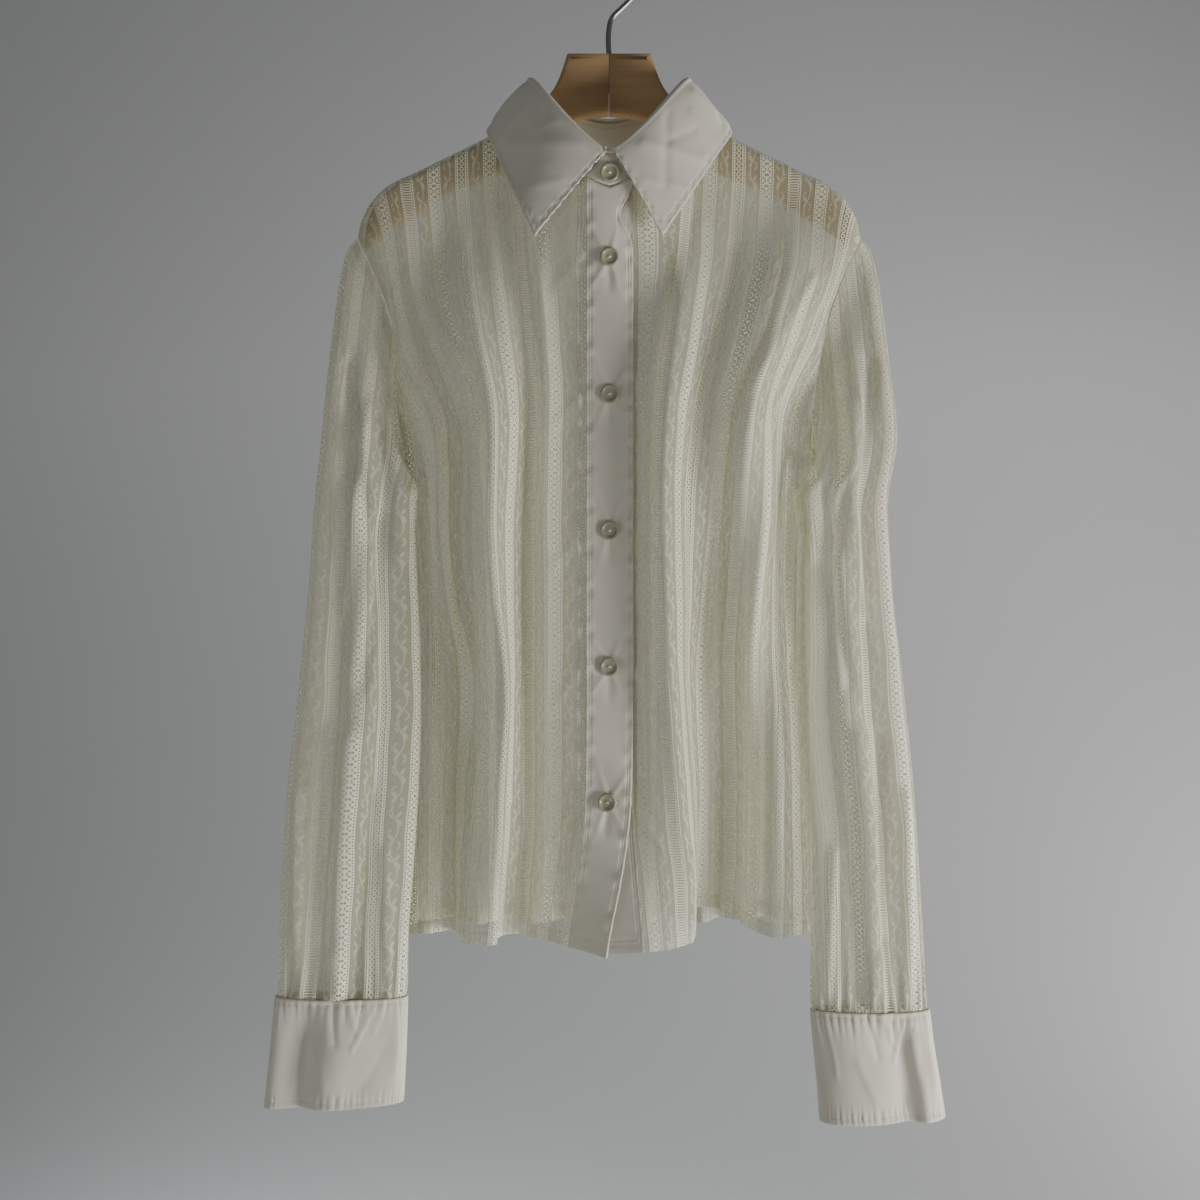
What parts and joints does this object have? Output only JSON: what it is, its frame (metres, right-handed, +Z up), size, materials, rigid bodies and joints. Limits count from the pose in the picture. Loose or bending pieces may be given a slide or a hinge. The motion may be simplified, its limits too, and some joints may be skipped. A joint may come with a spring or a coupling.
{
  "type": "lace shirt on wooden hanger",
  "caption": "Long-sleeved striped lace shirt with a pointed collar, buttoned cotton front band and cuffs, hanging on a wooden hanger with a wire hook",
  "frame": {"origin": "the inner top of the hook, where it rests on a rail", "axes": "+X to the right seen from the front, +Y to the back, +Z up; the wearer's right side is at -X"},
  "size_m": [0.4736, 0.134, 0.83],
  "materials": {
    "lace": "soft cotton lace in stripes, ivory",
    "cotton": "plain woven cotton, ivory",
    "button": "polished, grey-green shell look",
    "wood": "satin varnish",
    "hook_steel": "dull plated wire"
  },
  "bodies": {
    "root": {"front_right": "lace", "front_left": "lace", "back": "lace", "sleeve_right": "lace", "sleeve_left": "lace", "placket": "cotton", "underlap": "cotton", "cuff_right": "cotton", "cuff_left": "cotton", "collar": "cotton", "collar_stand": "cotton", "hanger_wood_right": "wood", "hanger_wood_left": "wood", "hanger_hook": "hook_steel", "button_1": "button", "button_2": "button", "button_3": "button", "button_4": "button", "button_5": "button", "button_collar": "button", "button_cuff_right": "button", "button_cuff_left": "button"}
  },
  "joints": []
}
